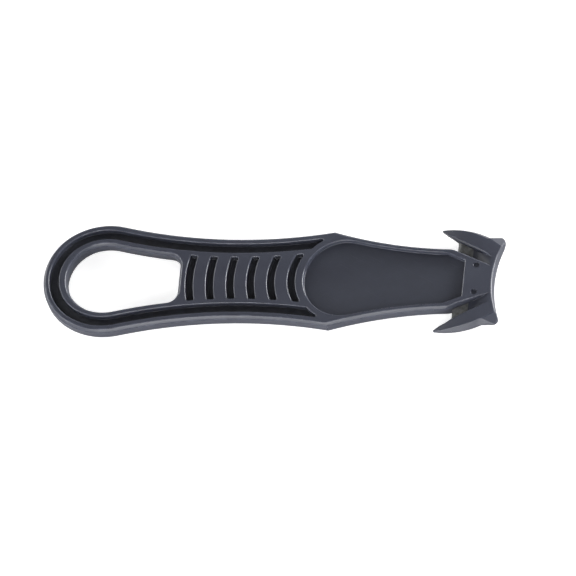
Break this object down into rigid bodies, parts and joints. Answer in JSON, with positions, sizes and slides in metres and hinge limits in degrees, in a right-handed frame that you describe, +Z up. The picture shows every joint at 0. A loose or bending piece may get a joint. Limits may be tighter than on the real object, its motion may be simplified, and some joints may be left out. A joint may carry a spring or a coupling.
{
  "type": "box cutter",
  "caption": "Flat hand cutter for tape, film and cartons: moulded handle with finger loop and ribbed grip, and a double-hook head with a concealed blade in each throat.",
  "frame": {"origin": "middle of the back face's bounding box, on the surface that the cutter lies on", "axes": "+X along the handle towards the hooks, +Y across it, +Z up through its thickness"},
  "size_m": [0.146, 0.0372, 0.0058],
  "materials": {
    "handle_plastic": "dark slate satin moulded plastic",
    "blade_steel": "ground carbon steel, lightly oiled"
  },
  "bodies": {
    "root": {"handle": "handle_plastic", "upper_blade": "blade_steel", "lower_blade": "blade_steel"}
  },
  "joints": []
}
